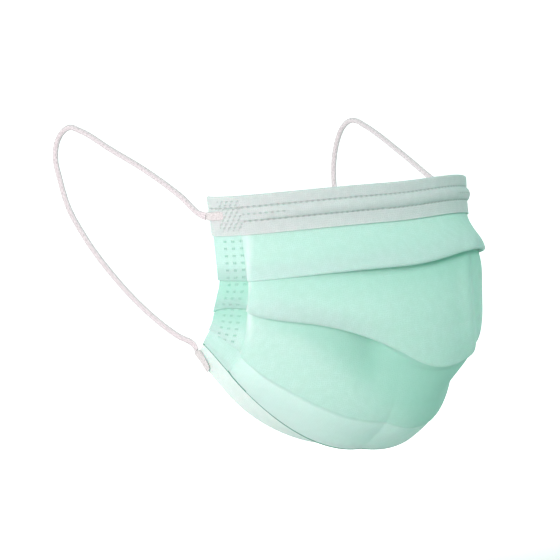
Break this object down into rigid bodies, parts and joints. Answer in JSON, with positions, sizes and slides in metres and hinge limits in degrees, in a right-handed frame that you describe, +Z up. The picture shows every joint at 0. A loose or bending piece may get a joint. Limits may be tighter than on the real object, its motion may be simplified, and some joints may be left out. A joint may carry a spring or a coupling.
{
  "type": "surgical face mask",
  "caption": "Pleated cloth face mask in its worn form, with a wired nose band over the top edge, a pale hem band, embossed side seams and round ear loops welded at the corners.",
  "frame": {"origin": "middle of the top edge, where the mask sits on the bridge of the nose", "axes": "+X towards the wearer's left, -Y forward from the face, +Z up"},
  "size_m": [0.1716, 0.1764, 0.1514],
  "materials": {
    "body_cloth": "matt spunbond nonwoven, mint green",
    "nose_band_cloth": "matt spunbond nonwoven, pale grey green, embossed with rows of weld marks",
    "nose_wire_metal": "plain flat strip, hidden in its channel",
    "hem_band_cloth": "matt spunbond nonwoven, very pale green white",
    "ear_loop_knit": "white knitted elastic",
    "loop_weld": "pressed flat, slightly glossy white"
  },
  "bodies": {
    "root": {"pleated_body": "body_cloth", "nose_band": "nose_band_cloth", "nose_wire": "nose_wire_metal", "hem_band": "hem_band_cloth", "ear_loop_left": "ear_loop_knit", "ear_loop_right": "ear_loop_knit", "upper_loop_weld_left": "loop_weld", "upper_loop_weld_right": "loop_weld", "lower_loop_weld_left": "loop_weld", "lower_loop_weld_right": "loop_weld"}
  },
  "joints": []
}
